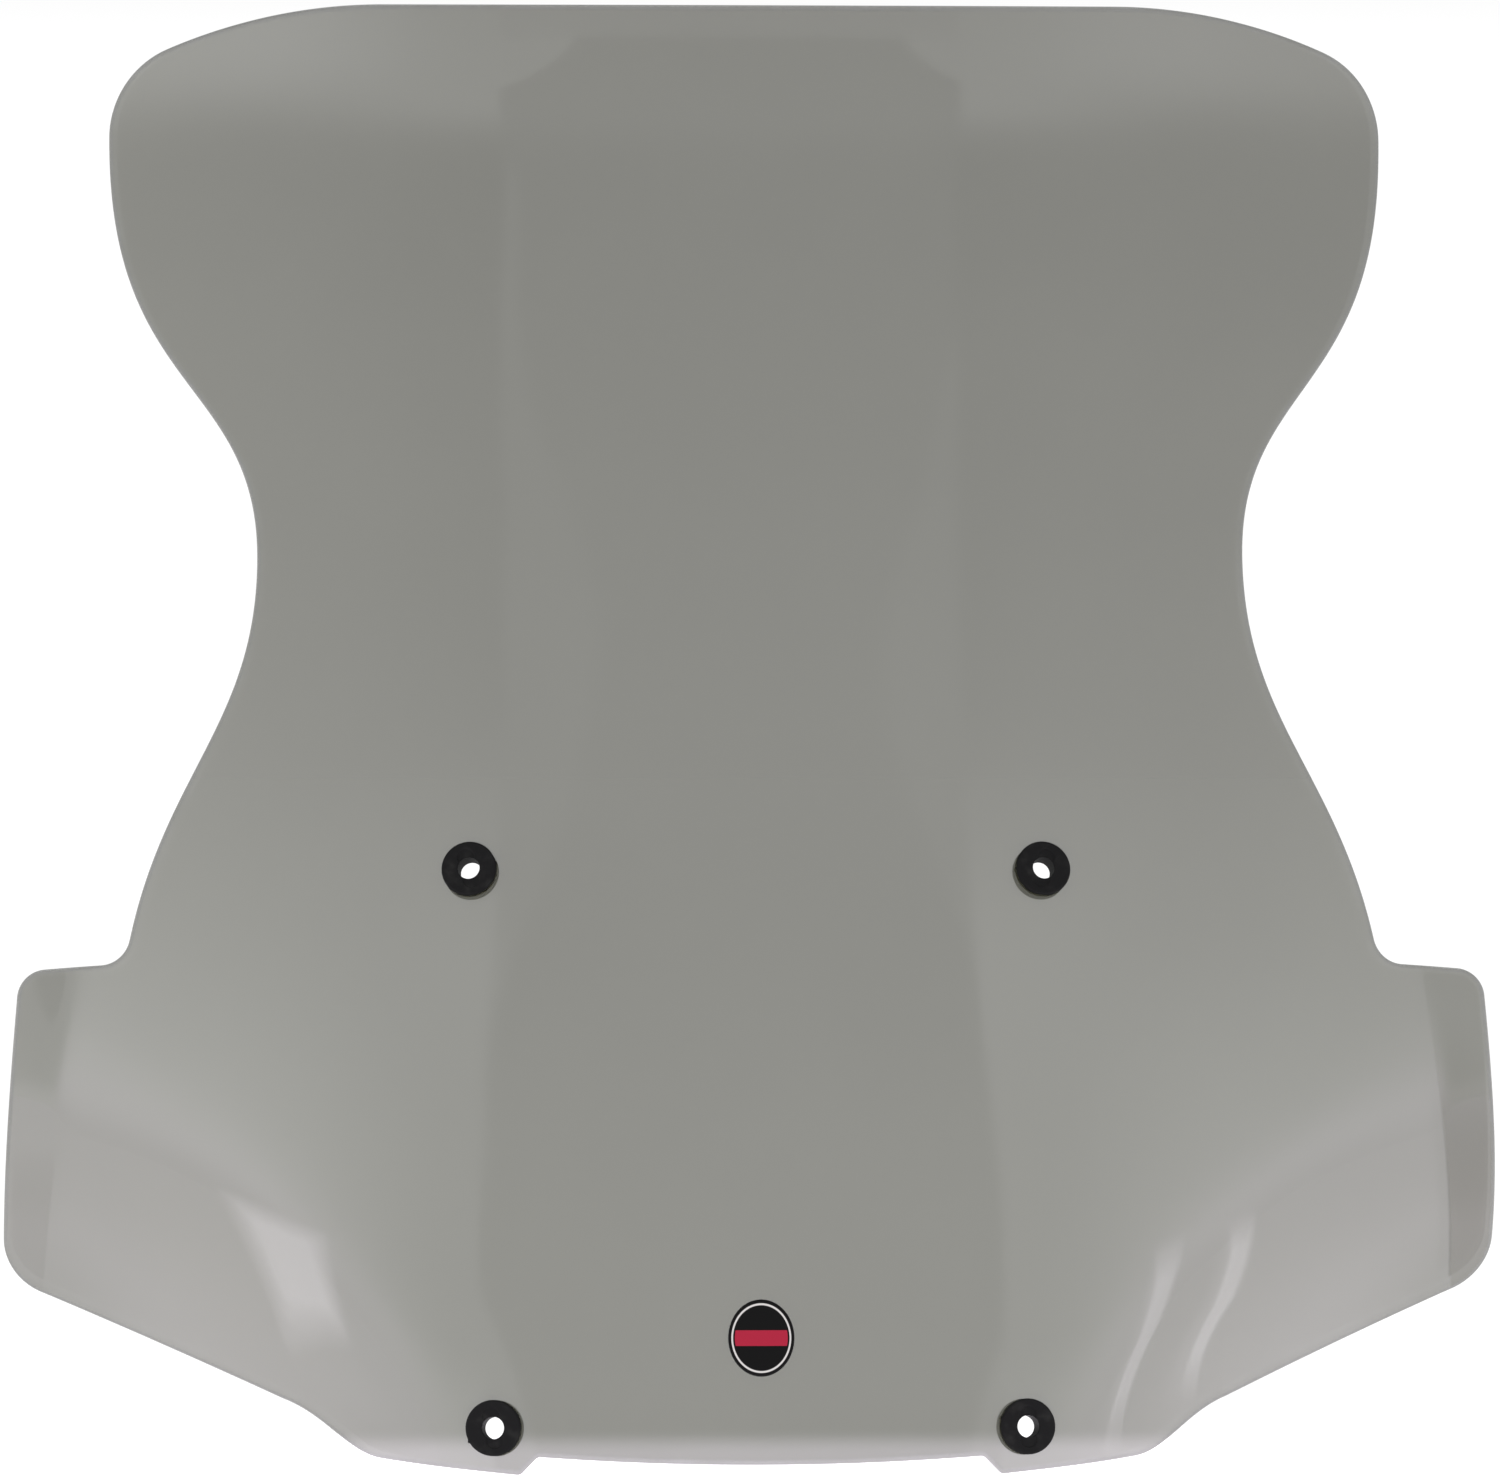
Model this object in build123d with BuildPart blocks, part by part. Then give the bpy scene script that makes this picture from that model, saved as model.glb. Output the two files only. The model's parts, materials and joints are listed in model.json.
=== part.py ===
from build123d import *
from math import exp, log
import os

os.makedirs("parts", exist_ok=True)

# A windshield screen: one formed sheet, four rubber grommets and a plain decal.
# X runs across the screen and Z up it, and the face that meets the wind looks along -Y.
# The origin is on the centreline, level with the lowest point, halfway through the depth.

# ---- the sheet's outline, seen from the front ----
screen_width = 606.0          # across the two wing tips
screen_height = 588.0         # from the toes to the top edge
panel_thickness = 4.5
rim_round = 0.8               # rounding of the trimmed rim
top_inset = 40.6              # the flared top stops this far inside the wing tips
waist_inset = 102.7           # and the waist this far
flank_inset = 52.1            # and the foot of the flank this far
top_widest_drop = 51.7        # widest part of the top, below the top edge
top_corner_width = 24.0       # tight part of the top corner
top_corner_drop = 15.9
top_fall_width = 112.4        # whole top corner, from the widest part to the level edge
top_sag = 1.4                 # the top edge sags this much in the middle
waist_height = 362.2
flank_foot_height = 208.7
root_round = 11.0             # concave corner between the flank and the wing
root_drop = 10.0
wing_top_fall = 1.8           # the wing's top edge falls this much towards its tip
tip_lean = 7.2                # the wing tip's edge leans in this much at its top
tip_round = 11.0              # upper corner of the wing
low_corner_height = 86.4
low_corner_width = 15.8       # lower corner of the wing
low_corner_drop = 23.5
wing_root_half = 189.0        # inner end of the wing's lower edge
wing_root_height = 25.9
shoulder_half = 150.0         # where the folded shoulder meets the bottom edge
shoulder_height = 5.2
toe_half = 95.0               # lowest points of the bottom edge
toe_run = 7.0                 # slanted step between a toe and the middle edge
toe_step = 7.4
toe_round = 2.6
heel_run = 5.0
bottom_sag = 2.8              # the middle edge sags this much
widest_pull = 0.608           # how far each curve runs straight on before it turns,
waist_pull_up = 0.425         # as a share of its own rise or drop
waist_pull_down = 0.431
flank_pull = 0.442
flank_pull_in = 0.091
root_pull = 17.0              # the same for the curve under the fold, along and down
root_pull_down = 5.0
shoulder_pull = 13.0
shoulder_pull_up = 1.3

# ---- how the sheet is formed ----
crown_radius = 640.0          # across the whole screen
foot_lean = 0.070             # slopes of the centreline, depth gained over height
middle_lean = 0.325
upper_lean = 0.160
lip_lean = -0.200             # the top lip rolls forward
middle_bend_height = 120.0
middle_bend_softness = 50.0
upper_bend_height = 400.0
upper_bend_softness = 45.0
lip_drop = 40.0               # the lip's bend, below the top edge
lip_softness = 9.0
fold_slope = 0.90             # how steeply the lower shoulders fold back
fold_start = 140.0            # half width of the fold line at the foot
fold_spread = 0.25            # the line moves outwards as it rises
fold_curl = 0.0028
fold_fade = 95.0              # height over which the fold dies away
fold_softness = 10.0
flare_width = 18.0            # strip along each wing tip, turned back to the front
flare_spread = 0.13           # the strip widens as it rises from the low corner
flare_slope = 0.35
flare_softness = 3.0
flare_height = 230.0
flare_fade = 8.0

# ---- grommets ----
upper_hole_half = 114.4
upper_hole_height = 237.4
lower_hole_half = 105.0
lower_hole_height = 18.6
grommet_diameter = 22.0
grommet_bore = 8.8
grommet_neck = 13.0
neck_clearance = 0.25         # between the neck and its hole, on the radius
seat_clearance = 0.10         # between each flange and the sheet where it curves nearest
flange_thickness = 2.1
flange_round = 0.8
bore_lead = 0.4

# ---- decal ----
decal_width = 26.0
decal_height = 30.0
decal_centre_height = 54.0
decal_thickness = 0.30
decal_gap = 0.02              # between the film and the sheet

# ---- spans of the nets the formed faces are fitted through ----
sheet_columns = 100
sheet_rows = 56
film_columns = 12
film_rows = 14

# ---- places worked out from the sizes ----
half_width = screen_width / 2
top_half = half_width - top_inset
waist_half = half_width - waist_inset
flank_half = half_width - flank_inset
top_widest_height = screen_height - top_widest_drop
lip_bend_height = screen_height - lip_drop
hole_diameter = grommet_neck + 2 * neck_clearance
margin = 2 * panel_thickness  # sheet left around the outline until it is trimmed


def bend(run, softness):
    """Depth gained by going a distance past a soft bend of unit slope."""
    turns = run / softness
    return softness * (max(turns, 0) + log(1 + exp(-abs(turns))))


def lean_depth(z):
    """Depth of the centreline at a height."""
    depth = foot_lean * z
    depth += (middle_lean - foot_lean) * bend(z - middle_bend_height, middle_bend_softness)
    depth -= (middle_lean - upper_lean) * bend(z - upper_bend_height, upper_bend_softness)
    depth -= (upper_lean - lip_lean) * bend(z - lip_bend_height, lip_softness)
    return depth


def fold_depth(x, z):
    """Depth added by the lower shoulders, outside a fold line that spreads as it rises."""
    line = fold_start + fold_spread * z + fold_curl * z**2
    return fold_slope * exp(-((z / fold_fade) ** 2)) * bend(abs(x) - line, fold_softness)


def flare_depth(x, z):
    """Depth taken back by the flared strip along each wing tip."""
    strength = flare_slope / (1 + exp((z - flare_height) / flare_fade))
    line = half_width - flare_width - flare_spread * (z - low_corner_height)
    return strength * bend(abs(x) - line, flare_softness)


def face_depth(x, z):
    """Depth of the front face behind the foot of the centreline."""
    return lean_depth(z) + x**2 / (2 * crown_radius) + fold_depth(x, z) - flare_depth(x, z)


deepest = face_depth(top_half, top_widest_height) + panel_thickness
middle_depth = (face_depth(0, 0) + deepest) / 2


def face_normal(x, z, step=0.01):
    """Unit normal of the front face, towards the wind."""
    across = (face_depth(x + step, z) - face_depth(x - step, z)) / (2 * step)
    upward = (face_depth(x, z + step) - face_depth(x, z - step)) / (2 * step)
    return Vector(across, -1, upward).normalized()


def face_point(x, z, lift=0.0):
    """Point of the front face, or one lifted off it towards the wind."""
    return Vector(x, face_depth(x, z) - middle_depth, z) + face_normal(x, z) * lift


def formed_face(half_across, low, high, columns, rows, lift=0.0):
    """Untrimmed face over a patch of the formed sheet, the same on both sides of the centreline."""
    net = []
    for i in range(columns + 1):
        x = half_across * (2 * i / columns - 1)
        net.append([face_point(x, low + (high - low) * j / rows, lift) for j in range(rows + 1)])
    return Face.make_surface_from_array_of_points(net, tol=0.005, min_deg=3, max_deg=5)


def trimmed(face, shape):
    """The part of a formed face that lies behind a shape drawn on the XZ plane."""
    cutter = extrude(shape, amount=screen_height, both=True, mode=Mode.PRIVATE)
    return face.intersect(cutter).faces().sort_by(Face.area)[-1]


def hole_plane(side, hole_half, height):
    """Plane on the front face at a hole, with its Z axis along the hole towards the wind."""
    x = side * hole_half
    return Plane(face_point(x, height), x_dir=(1, 0, 0), z_dir=face_normal(x, height))


def sheet_bow(place):
    """How far the sheet curves in front of a hole's plane, and behind it, within the flanges."""
    offsets = []
    for turn in range(0, 360, 15):
        reach = Vector(grommet_diameter / 2, 0, 0).rotate(Axis.Y, turn)
        rim = face_point(place.origin.X + reach.X, place.origin.Z + reach.Z)
        offsets.append((rim - place.origin).dot(place.z_dir))
    return max(0, *offsets), max(0, *(-offset for offset in offsets))


# ---- outline ----
level_end = (top_half - top_fall_width, screen_height)
corner_top = (top_half - top_corner_width, screen_height - top_corner_drop)
top_widest = (top_half, top_widest_height)
waist = (waist_half, waist_height)
flank_foot = (flank_half, flank_foot_height)
wing_top = (flank_half + root_round, flank_foot_height - root_drop)
tip_start = (half_width - tip_lean - tip_round, wing_top[1] - wing_top_fall)
tip_side = (half_width - tip_lean, tip_start[1] - tip_round)
low_side = (half_width, low_corner_height)
low_foot = (half_width - low_corner_width, low_corner_height - low_corner_drop)
wing_root = (wing_root_half, wing_root_height)
shoulder = (shoulder_half, shoulder_height)
toe = (toe_half, (panel_thickness - rim_round) * face_normal(toe_half, 0).Z)
heel = (toe_half - toe_run, toe_step)
heel_end = (toe_half - toe_run - heel_run, toe_step - 2 * bottom_sag * heel_run / toe_half)

flare_rise = top_widest_height - waist_height
flank_drop = waist_height - flank_foot_height
widest_handle = (top_half, top_widest_height - widest_pull * flare_rise)
waist_handle_up = (waist_half, waist_height + waist_pull_up * flare_rise)
waist_handle_down = (waist_half, waist_height - waist_pull_down * flank_drop)
flank_handle = (flank_half - flank_pull_in * flank_drop, flank_foot_height + flank_pull * flank_drop)
root_handle = (wing_root_half - root_pull, wing_root_height - root_pull_down)
shoulder_handle = (shoulder_half + shoulder_pull, shoulder_height + shoulder_pull_up)

with BuildSketch(Plane.XZ) as outline:
    with BuildLine():
        top_edge = TangentArc((0, screen_height - top_sag), level_end, tangent=(1, 0))
        top_fall = TangentArc(level_end, corner_top, tangent=top_edge % 1)
        TangentArc(corner_top, top_widest, tangent=top_fall % 1)
        Bezier(top_widest, widest_handle, waist_handle_up, waist)
        flank = Bezier(waist, waist_handle_down, flank_handle, flank_foot)
        TangentArc(flank_foot, wing_top, tangent=flank % 1)
        wing_edge = Line(wing_top, tip_start)
        tip_corner = TangentArc(tip_start, tip_side, tangent=wing_edge % 1)
        tip_edge = TangentArc(tip_side, low_side, tangent=tip_corner % 1)
        TangentArc(low_side, low_foot, tangent=tip_edge % 1)
        Line(low_foot, wing_root)
        Bezier(wing_root, root_handle, shoulder_handle, shoulder)
        FilletPolyline(shoulder, toe, heel, heel_end, radius=toe_round)
        TangentArc((0, toe_step - bottom_sag), heel_end, tangent=(1, 0))
        Line((0, toe_step - bottom_sag), (0, screen_height - top_sag))
    make_face()
    mirror(about=Plane.YZ)

# ---- the sheet, thickened backwards from its trimmed front face ----
sheet = formed_face(half_width + margin, -margin, screen_height + margin, sheet_columns, sheet_rows)
front_face = trimmed(sheet, outline.sketch)
upper_holes = [hole_plane(side, upper_hole_half, upper_hole_height) for side in (-1, 1)]
lower_holes = [hole_plane(side, lower_hole_half, lower_hole_height) for side in (-1, 1)]

with BuildPart() as screen_panel:
    thicken(front_face, amount=-panel_thickness)
    rims = screen_panel.faces().sort_by(Face.area)[-2:]
    for rim in rims:
        fillet(rim.edges(), rim_round)
    for plane in upper_holes + lower_holes:
        with BuildSketch(plane):
            Circle(hole_diameter / 2)
        extrude(amount=2 * panel_thickness, both=True, mode=Mode.SUBTRACT)

screen_panel.part.label = "screen_panel"
export_step(screen_panel.part, "parts/screen_panel.step")

# ---- grommets, each turned about its own hole's axis ----
grommet_places = {
    "grommet_upper_left": upper_holes[0],
    "grommet_upper_right": upper_holes[1],
    "grommet_lower_left": lower_holes[0],
    "grommet_lower_right": lower_holes[1],
}
for name, place in grommet_places.items():
    axis = Axis(place.origin, place.z_dir)
    front_bow, back_bow = sheet_bow(place)
    groove_front = seat_clearance + front_bow
    groove_back = -panel_thickness - seat_clearance - back_bow
    flange_front = groove_front + flange_thickness
    flange_back = groove_back - flange_thickness
    with BuildPart() as grommet:
        with BuildSketch(Plane(place.origin, x_dir=place.x_dir, z_dir=-place.y_dir)):
            with BuildLine():
                Polyline(
                    (grommet_bore / 2, flange_front),
                    (grommet_diameter / 2, flange_front),
                    (grommet_diameter / 2, groove_front),
                    (grommet_neck / 2, groove_front),
                    (grommet_neck / 2, groove_back),
                    (grommet_diameter / 2, groove_back),
                    (grommet_diameter / 2, flange_back),
                    (grommet_bore / 2, flange_back),
                    close=True,
                )
            make_face()
        revolve(axis=axis)
        flats = grommet.faces().filter_by(GeomType.PLANE).sort_by(axis)
        ends = (flats[0], flats[-1])
        fillet([end.edges().sort_by(SortBy.RADIUS)[-1] for end in ends], flange_round)
        chamfer([end.edges().sort_by(SortBy.RADIUS)[0] for end in ends], bore_lead)
    grommet.part.label = name
    export_step(grommet.part, f"parts/{name}.step")

# ---- decal, a thin film that follows the sheet ----
decal_low = decal_centre_height - decal_height
decal_high = decal_centre_height + decal_height
film = formed_face(decal_width, decal_low, decal_high, film_columns, film_rows, lift=decal_gap)
with BuildSketch(Plane.XZ) as decal_shape:
    with Locations((0, decal_centre_height)):
        Ellipse(decal_width / 2, decal_height / 2)
film_face = trimmed(film, decal_shape.sketch)
with BuildPart() as decal:
    thicken(film_face, amount=decal_thickness)

decal.part.label = "decal"
export_step(decal.part, "parts/decal.step")
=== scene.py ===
"""Looks of a windshield screen: a formed smoke sheet, four rubber grommets and a plain decal.

Sizes are in metres. X runs across the screen, Z up it, and the face that meets the wind looks along -Y.
"""

import json
import logging
import math
from collections.abc import Mapping, Sequence
from dataclasses import asdict, dataclass, field
from enum import Enum

import bmesh
import bpy
import numpy as np
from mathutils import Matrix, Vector
from mathutils.geometry import delaunay_2d_cdt


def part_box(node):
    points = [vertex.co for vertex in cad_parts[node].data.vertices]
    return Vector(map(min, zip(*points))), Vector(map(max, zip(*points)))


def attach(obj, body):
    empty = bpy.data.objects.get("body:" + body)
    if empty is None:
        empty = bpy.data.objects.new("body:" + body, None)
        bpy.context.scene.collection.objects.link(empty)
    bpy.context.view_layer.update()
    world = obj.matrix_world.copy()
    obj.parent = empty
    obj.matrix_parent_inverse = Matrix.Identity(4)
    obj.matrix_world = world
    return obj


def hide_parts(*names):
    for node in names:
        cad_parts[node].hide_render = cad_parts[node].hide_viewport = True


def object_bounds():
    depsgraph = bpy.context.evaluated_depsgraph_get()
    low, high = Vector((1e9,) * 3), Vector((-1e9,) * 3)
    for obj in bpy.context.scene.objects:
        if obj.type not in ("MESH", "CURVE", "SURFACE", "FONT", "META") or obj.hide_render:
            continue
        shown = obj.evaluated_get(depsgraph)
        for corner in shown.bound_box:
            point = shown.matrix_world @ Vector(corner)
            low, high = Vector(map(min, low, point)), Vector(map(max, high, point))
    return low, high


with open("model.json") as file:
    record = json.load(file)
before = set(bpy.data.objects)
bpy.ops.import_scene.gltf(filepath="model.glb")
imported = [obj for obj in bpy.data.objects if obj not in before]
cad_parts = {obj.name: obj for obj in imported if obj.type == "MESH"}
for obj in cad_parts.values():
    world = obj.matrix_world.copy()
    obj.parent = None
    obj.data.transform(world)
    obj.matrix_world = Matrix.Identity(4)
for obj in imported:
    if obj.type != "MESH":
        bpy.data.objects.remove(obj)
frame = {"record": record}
cad_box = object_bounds()

Place = tuple[float, float, float]
Profile = list[tuple[float, float]]
Face = tuple[int, ...]
Rise = tuple[float, ...]  # a ramp's low and high end, and its value at each where they aren't 0 and 1
BODY = "root"
CORNER_CUT = 0.3  # how far the middle of a small rounding lies inside its corner, in radii


# ---------------------------------------------------------------- nodes


class Wire:
    """One output socket of a node. Arithmetic on it adds Math nodes."""

    def __init__(self, bench: "Bench", socket: bpy.types.NodeSocket) -> None:
        """Keeps the socket and the bench on which its nodes are added."""
        self.bench = bench
        self.socket = socket

    def maths(self, operation: str, other: "Number | None" = None) -> "Wire":
        """Adds a Math node that works on this value.

        Args:
            operation: The Math node's operation.
            other: The second value, where the operation takes one.

        Returns:
            The node's value.
        """
        inputs = {0: self} if other is None else {0: self, 1: other}
        return self.bench.add("ShaderNodeMath", {"operation": operation}, inputs)

    def turned(self, operation: str, first: float) -> "Wire":
        """Adds a Math node that has this value second, after a plain number."""
        return self.bench.add("ShaderNodeMath", {"operation": operation}, {0: first, 1: self})

    def __add__(self, other: "Number") -> "Wire":
        """Adds a value."""
        return self.maths("ADD", other)

    def __sub__(self, other: "Number") -> "Wire":
        """Takes a value away."""
        return self.maths("SUBTRACT", other)

    def __mul__(self, other: "Number") -> "Wire":
        """Multiplies by a value."""
        return self.maths("MULTIPLY", other)

    def __truediv__(self, other: "Number") -> "Wire":
        """Divides by a value."""
        return self.maths("DIVIDE", other)

    def __neg__(self) -> "Wire":
        """Turns the sign round."""
        return self.maths("MULTIPLY", -1.0)

    def __rsub__(self, other: float) -> "Wire":
        """Takes this value away from a number."""
        return self.turned("SUBTRACT", other)

    def __rtruediv__(self, other: float) -> "Wire":
        """Divides a number by this value."""
        return self.turned("DIVIDE", other)

    __radd__ = __add__
    __rmul__ = __mul__


Number = float | Wire


class Bench:
    """A node tree, with one way to add a node."""

    def __init__(self, tree: bpy.types.NodeTree) -> None:
        """Keeps the tree and clears it."""
        self.tree = tree
        tree.nodes.clear()

    @staticmethod
    def find(sockets: Sequence[bpy.types.NodeSocket], key: str | int) -> bpy.types.NodeSocket:
        """Finds a socket by its place, or the one in use that has a name.

        Args:
            sockets: The inputs or outputs of a node.
            key: The socket's place or name.

        Returns:
            The socket.
        """
        if isinstance(key, int):
            return sockets[key]
        return next(s for s in sockets if s.name == key and s.enabled)

    def add(
        self,
        kind: str,
        settings: Mapping[str, object] | None = None,
        inputs: Mapping[str | int, object] | None = None,
        out: str | int = 0,
    ) -> Wire:
        """Adds a node.

        Args:
            kind: The node's type.
            settings: What is set on the node itself, first.
            inputs: Values or wires for its input sockets, by name or place.
            out: The output socket to give back, by name or place.

        Returns:
            The chosen output.
        """
        node = self.tree.nodes.new(kind)
        for name, value in (settings or {}).items():
            setattr(node, name, value)
        for key, value in (inputs or {}).items():
            socket = self.find(node.inputs, key)
            if isinstance(value, Wire):
                self.tree.links.new(value.socket, socket)
            else:
                socket.default_value = value
        if not node.outputs:
            return Wire(self, node.inputs[0])
        return Wire(self, self.find(node.outputs, out))

    def split(self, vector: Wire) -> tuple[Wire, Wire, Wire]:
        """Gives the X, Y and Z of a vector."""
        first = self.add("ShaderNodeSeparateXYZ", inputs={"Vector": vector})
        return tuple(Wire(self, s) for s in first.socket.node.outputs)

    def ramp(self, value: Number, low: float, high: float, start: float = 0.0, end: float = 1.0) -> Wire:
        """Eases from start to end as a value goes from low to high."""
        values = {"Value": value, "From Min": low, "From Max": high, "To Min": start, "To Max": end}
        return self.add("ShaderNodeMapRange", {"interpolation_type": "SMOOTHSTEP"}, values)

    def mixed(self, share: Number, first: object, second: object) -> Wire:
        """Mixes two colours by a share of the second."""
        return self.add("ShaderNodeMix", {"data_type": "RGBA"}, {0: share, 6: first, 7: second}, out=2)

    def noise(self, place: Wire, scale: float, detail: float = 2.0) -> Wire:
        """Adds a noise pattern with that many features to the metre."""
        return self.add("ShaderNodeTexNoise", inputs={"Vector": place, "Scale": scale, "Detail": detail})

    def bump(self, pattern: Wire, height: float, strength: float = 1.0) -> Wire:
        """Adds the surface normal that a pattern of that height gives."""
        values = {"Strength": strength, "Distance": height, "Height": pattern}
        return self.add("ShaderNodeBump", inputs=values)


def magnitude(value: Number) -> Number:
    """Gives a value without its sign."""
    return value.maths("ABSOLUTE") if isinstance(value, Wire) else abs(value)


def larger(value: Number, floor: float) -> Number:
    """Gives a value, or the floor where the value is below it."""
    return value.maths("MAXIMUM", floor) if isinstance(value, Wire) else max(value, floor)


def exponential(value: Number) -> Number:
    """Gives e to the power of a value."""
    return value.maths("EXPONENT") if isinstance(value, Wire) else math.exp(value)


def logarithm(value: Number) -> Number:
    """Gives the natural logarithm of a value."""
    return value.maths("LOGARITHM", math.e) if isinstance(value, Wire) else math.log(value)


class Press(Bench):
    """A Geometry Nodes tree that shapes a flat mesh, and the way to run it."""

    def __init__(self, name: str) -> None:
        """Starts an empty tree with a group input and output.

        Args:
            name: The tree's name.
        """
        super().__init__(bpy.data.node_groups.new(name, "GeometryNodeTree"))
        self.entry = self.tree.nodes.new("NodeGroupInput")
        self.exit = self.tree.nodes.new("NodeGroupOutput")
        self.keys: dict[str, str] = {}

    def size(self, name: str, kind: str = "Float") -> Wire:
        """Adds a named input.

        Args:
            name: The input's name.
            kind: Float, Vector, Geometry or Material.

        Returns:
            The input's value inside the tree.
        """
        item = self.tree.interface.new_socket(name, in_out="INPUT", socket_type=f"NodeSocket{kind}")
        self.keys[name] = item.identifier
        return Wire(self, self.entry.outputs[name])

    def result(self, value: Wire, name: str, kind: str) -> None:
        """Gives a value out of the tree under a name."""
        self.tree.interface.new_socket(name, in_out="OUTPUT", socket_type=f"NodeSocket{kind}")
        self.tree.links.new(value.socket, self.exit.inputs[name])

    def close(self, geometry: Wire, finishes: Sequence[tuple[Wire, Wire | None]]) -> None:
        """Ends the tree: smooth shading, real geometry and finishes.

        Args:
            geometry: The shaped geometry.
            finishes: Each material with the faces it goes on, or None for all of them.
        """
        smooth = self.add("GeometryNodeSetShadeSmooth", inputs={"Geometry": geometry})
        shaped = self.add("GeometryNodeRealizeInstances", inputs={"Geometry": smooth})
        for material, faces in finishes:
            inputs = {"Geometry": shaped, "Material": material}
            if faces is not None:
                inputs["Selection"] = faces
            shaped = self.add("GeometryNodeSetMaterial", inputs=inputs)
        self.result(shaped, "Geometry", "Geometry")

    def run(self, name: str, flat: bpy.types.Mesh, values: Mapping[str, object]) -> bpy.types.Object:
        """Shapes a flat mesh into a plain mesh object.

        Args:
            name: The finished piece's name.
            flat: The flat mesh.
            values: The tree's inputs, by name.

        Returns:
            The finished piece, with no modifier.
        """
        blank = linked(f"{name}_blank", flat)
        modifier = blank.modifiers.new("press", "NODES")
        modifier.node_group = self.tree
        for key, value in values.items():
            modifier[self.keys[key]] = value
        graph = bpy.context.evaluated_depsgraph_get()
        mesh = bpy.data.meshes.new_from_object(blank.evaluated_get(graph), depsgraph=graph)
        bpy.data.objects.remove(blank)
        bpy.data.meshes.remove(flat)
        return placed(name, mesh)


def linked(name: str, data: bpy.types.ID) -> bpy.types.Object:
    """Puts an object in the scene.

    Args:
        name: The object's name.
        data: Its mesh, light or camera.

    Returns:
        The object.
    """
    thing = bpy.data.objects.new(name, data)
    bpy.context.scene.collection.objects.link(thing)
    return thing


def between(near: Sequence[int], far: Sequence[int], closed: bool = True) -> list[Face]:
    """Gives the faces between two rows of vertices.

    Args:
        near: The first row, as vertex numbers.
        far: The second row, with as many.
        closed: Whether each row's last vertex is joined to its first.

    Returns:
        The faces.
    """
    faces = list(zip(near, [*near[1:], near[0]], [*far[1:], far[0]], far))
    return faces if closed else faces[:-1]


def placed(name: str, mesh: bpy.types.Mesh) -> bpy.types.Object:
    """Puts a mesh in the scene as a piece, with its faces turned outwards.

    Args:
        name: The piece's name.
        mesh: Its mesh, already in place.

    Returns:
        The piece.
    """
    work = bmesh.new()
    work.from_mesh(mesh)
    bmesh.ops.recalc_face_normals(work, faces=work.faces)
    work.to_mesh(mesh)
    work.free()
    mesh.name = name
    return linked(name, mesh)


# ---------------------------------------------------------------- finishes


class Dye(Enum):
    """Colours that the finishes are mixed from."""

    WHITE = (1.0, 1.0, 1.0)
    NO_LIGHT = (0.0, 0.0, 0.0)
    SMOKE = (0.050, 0.050, 0.031)
    SMOKE_THIN = (0.045, 0.045, 0.0279)
    SMOKE_DEEP = (0.020, 0.021, 0.019)
    RUBBER = (0.0050, 0.0050, 0.0052)
    RUBBER_DUST = (0.018, 0.018, 0.017)
    INK_BLACK = (0.004, 0.004, 0.004)
    INK_PALE = (0.42, 0.41, 0.39)
    INK_RED = (0.26, 0.014, 0.032)
    INK_RED_DEEP = (0.19, 0.009, 0.022)
    PAPER = (0.12, 0.12, 0.12)
    PAPER_PALE = (0.14, 0.14, 0.14)
    DUSK = (0.975, 0.935, 1.0)

    def paint(self) -> tuple[float, float, float, float]:
        """Gives the colour as a socket takes it."""
        return (*self.value, 1.0)


@dataclass(frozen=True)
class Finish:
    """A surface made of one Principled shader."""

    name: str

    def made(self) -> bpy.types.Material:
        """Builds the material.

        Returns:
            The material, with its nodes.
        """
        material = bpy.data.materials.new(self.name)
        material.use_nodes = True
        bench = Bench(material.node_tree)
        place = bench.add("ShaderNodeTexCoord", out="Object")
        shader = bench.add("ShaderNodeBsdfPrincipled", inputs=self.surface(bench, place))
        bench.add("ShaderNodeOutputMaterial", inputs={"Surface": shader})
        return material

    def surface(self, bench: Bench, place: Wire) -> dict[str, object]:
        """Gives the shader's inputs. Each finish has its own."""
        raise NotImplementedError


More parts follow.
